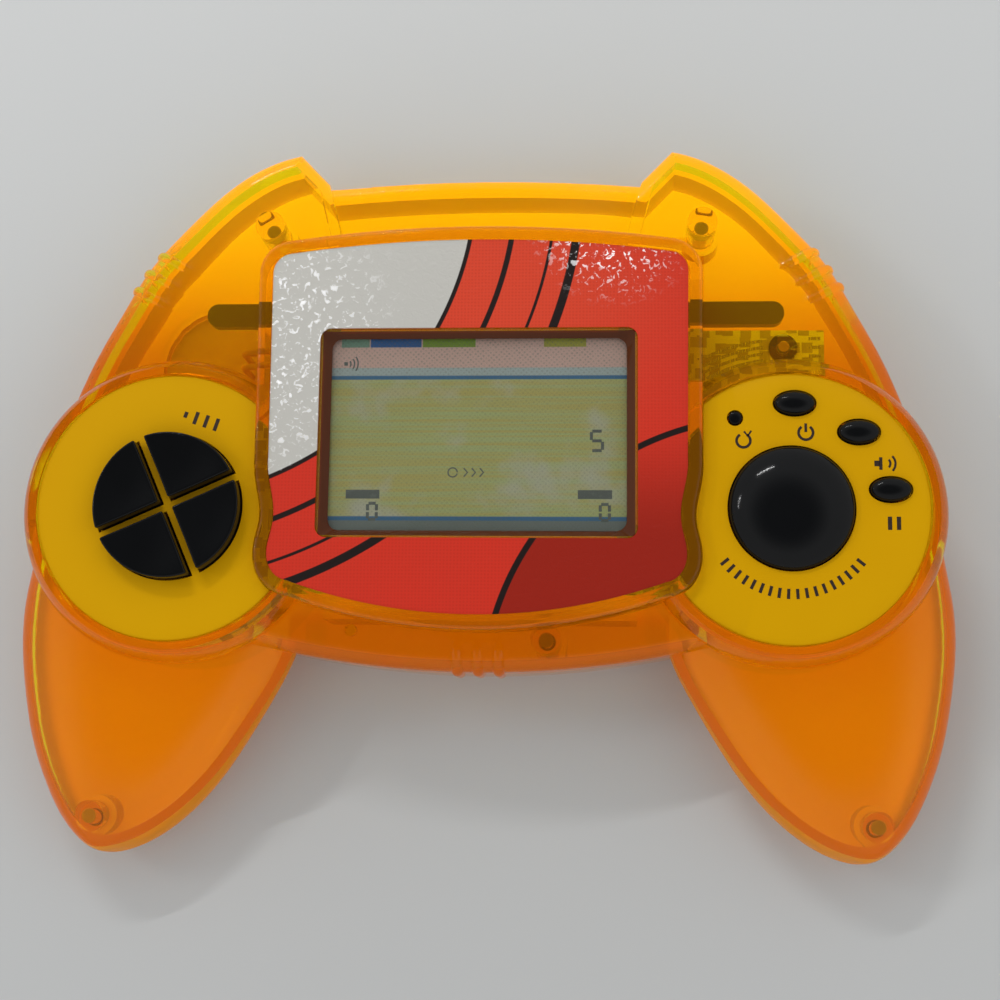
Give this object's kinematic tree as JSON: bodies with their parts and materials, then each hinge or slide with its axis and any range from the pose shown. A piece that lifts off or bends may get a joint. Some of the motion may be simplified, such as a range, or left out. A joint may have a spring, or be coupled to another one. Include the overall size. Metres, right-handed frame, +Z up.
{
  "type": "handheld electronic game",
  "caption": "Controller-shaped handheld LCD game in a clear orange case with horns and grips, a raised printed label round the screen and a disc of buttons on each side.",
  "frame": {"origin": "middle of the footprint, on the table that the rear face lies on", "axes": "+Z up out of the screen, +Y towards the two horns, +X towards the action-button pod"},
  "size_m": [0.1558, 0.1188, 0.0272],
  "materials": {
    "clear_orange": "clear tinted, glossy",
    "yellow_plastic": "satin",
    "black_plastic": "glossy",
    "printed_label": "printed foil, glossy",
    "clear_window": "clear, glossy",
    "display_glass": "clear",
    "display_film": "matte print",
    "dark_rubber": "matte",
    "green_board": "satin lacquer",
    "black_resin": "satin",
    "capacitor_sleeve": "satin",
    "steel": "plain",
    "cell_jacket": "printed jacket, satin",
    "spring_metal": "plated",
    "brass_disc": "plain",
    "wire_jacket": "satin"
  },
  "bodies": {
    "case": {"front_shell": "clear_orange", "rear_shell": "clear_orange", "left_disc": "yellow_plastic", "right_disc": "yellow_plastic", "faceplate_label": "printed_label", "window_lens": "clear_window", "lcd_front_glass": "display_glass", "lcd_rear_glass": "display_glass", "lcd_background_film": "display_film", "lcd_frame": "black_plastic", "zebra_strip": "dark_rubber", "main_board": "green_board", "board_stiffener": "black_plastic", "chip_cover": "black_resin", "board_resistors": "black_resin", "capacitor": "capacitor_sleeve", "case_screws": "steel", "board_screws": "steel", "dome_dpad_up": "dark_rubber", "dome_dpad_left": "dark_rubber", "dome_dpad_down": "dark_rubber", "dome_dpad_right": "dark_rubber", "dome_action": "dark_rubber", "dome_power": "dark_rubber", "dome_sound": "dark_rubber", "dome_pause": "dark_rubber", "dome_reset": "dark_rubber", "dpad_mat": "dark_rubber", "action_mat": "dark_rubber", "battery_cell_upper": "cell_jacket", "battery_cell_lower": "cell_jacket", "contact_link": "spring_metal", "contact_positive": "spring_metal", "contact_negative": "spring_metal", "sounder_disc": "brass_disc", "battery_wires": "wire_jacket", "sounder_wires": "wire_jacket"},
    "dpad_up": {"dpad_up": "black_plastic"},
    "dpad_left": {"dpad_left": "black_plastic"},
    "dpad_down": {"dpad_down": "black_plastic"},
    "dpad_right": {"dpad_right": "black_plastic"},
    "action_button": {"action_button": "black_plastic"},
    "power_button": {"power_button": "black_plastic"},
    "sound_button": {"sound_button": "black_plastic"},
    "pause_button": {"pause_button": "black_plastic"},
    "reset_button": {"reset_button": "black_plastic"},
    "battery_cover": {"battery_cover": "clear_orange"}
  },
  "joints": [
    {"name": "dpad_up_press", "type": "slide", "parent": "case", "child": "dpad_up", "axis": [0, 0, -1], "range_m": [0, 0.001], "stiffness_N_per_m": 700, "deforming": ["dome_dpad_up"]},
    {"name": "dpad_left_press", "type": "slide", "parent": "case", "child": "dpad_left", "axis": [0, 0, -1], "range_m": [0, 0.001], "stiffness_N_per_m": 700, "deforming": ["dome_dpad_left"]},
    {"name": "dpad_down_press", "type": "slide", "parent": "case", "child": "dpad_down", "axis": [0, 0, -1], "range_m": [0, 0.001], "stiffness_N_per_m": 700, "deforming": ["dome_dpad_down"]},
    {"name": "dpad_right_press", "type": "slide", "parent": "case", "child": "dpad_right", "axis": [0, 0, -1], "range_m": [0, 0.001], "stiffness_N_per_m": 700, "deforming": ["dome_dpad_right"]},
    {"name": "action_button_press", "type": "slide", "parent": "case", "child": "action_button", "axis": [0, 0, -1], "range_m": [0, 0.001], "stiffness_N_per_m": 1000, "deforming": ["dome_action"]},
    {"name": "power_button_press", "type": "slide", "parent": "case", "child": "power_button", "axis": [0, 0, -1], "range_m": [0, 0.001], "stiffness_N_per_m": 600, "deforming": ["dome_power"]},
    {"name": "sound_button_press", "type": "slide", "parent": "case", "child": "sound_button", "axis": [0, 0, -1], "range_m": [0, 0.001], "stiffness_N_per_m": 600, "deforming": ["dome_sound"]},
    {"name": "pause_button_press", "type": "slide", "parent": "case", "child": "pause_button", "axis": [0, 0, -1], "range_m": [0, 0.001], "stiffness_N_per_m": 600, "deforming": ["dome_pause"]},
    {"name": "reset_button_press", "type": "slide", "parent": "case", "child": "reset_button", "axis": [0, 0, -1], "range_m": [0, 0.001], "stiffness_N_per_m": 500, "deforming": ["dome_reset"]},
    {"name": "battery_cover_slide", "type": "slide", "parent": "case", "child": "battery_cover", "axis": [0, -1, 0], "range_m": [0, 0.034]}
  ]
}
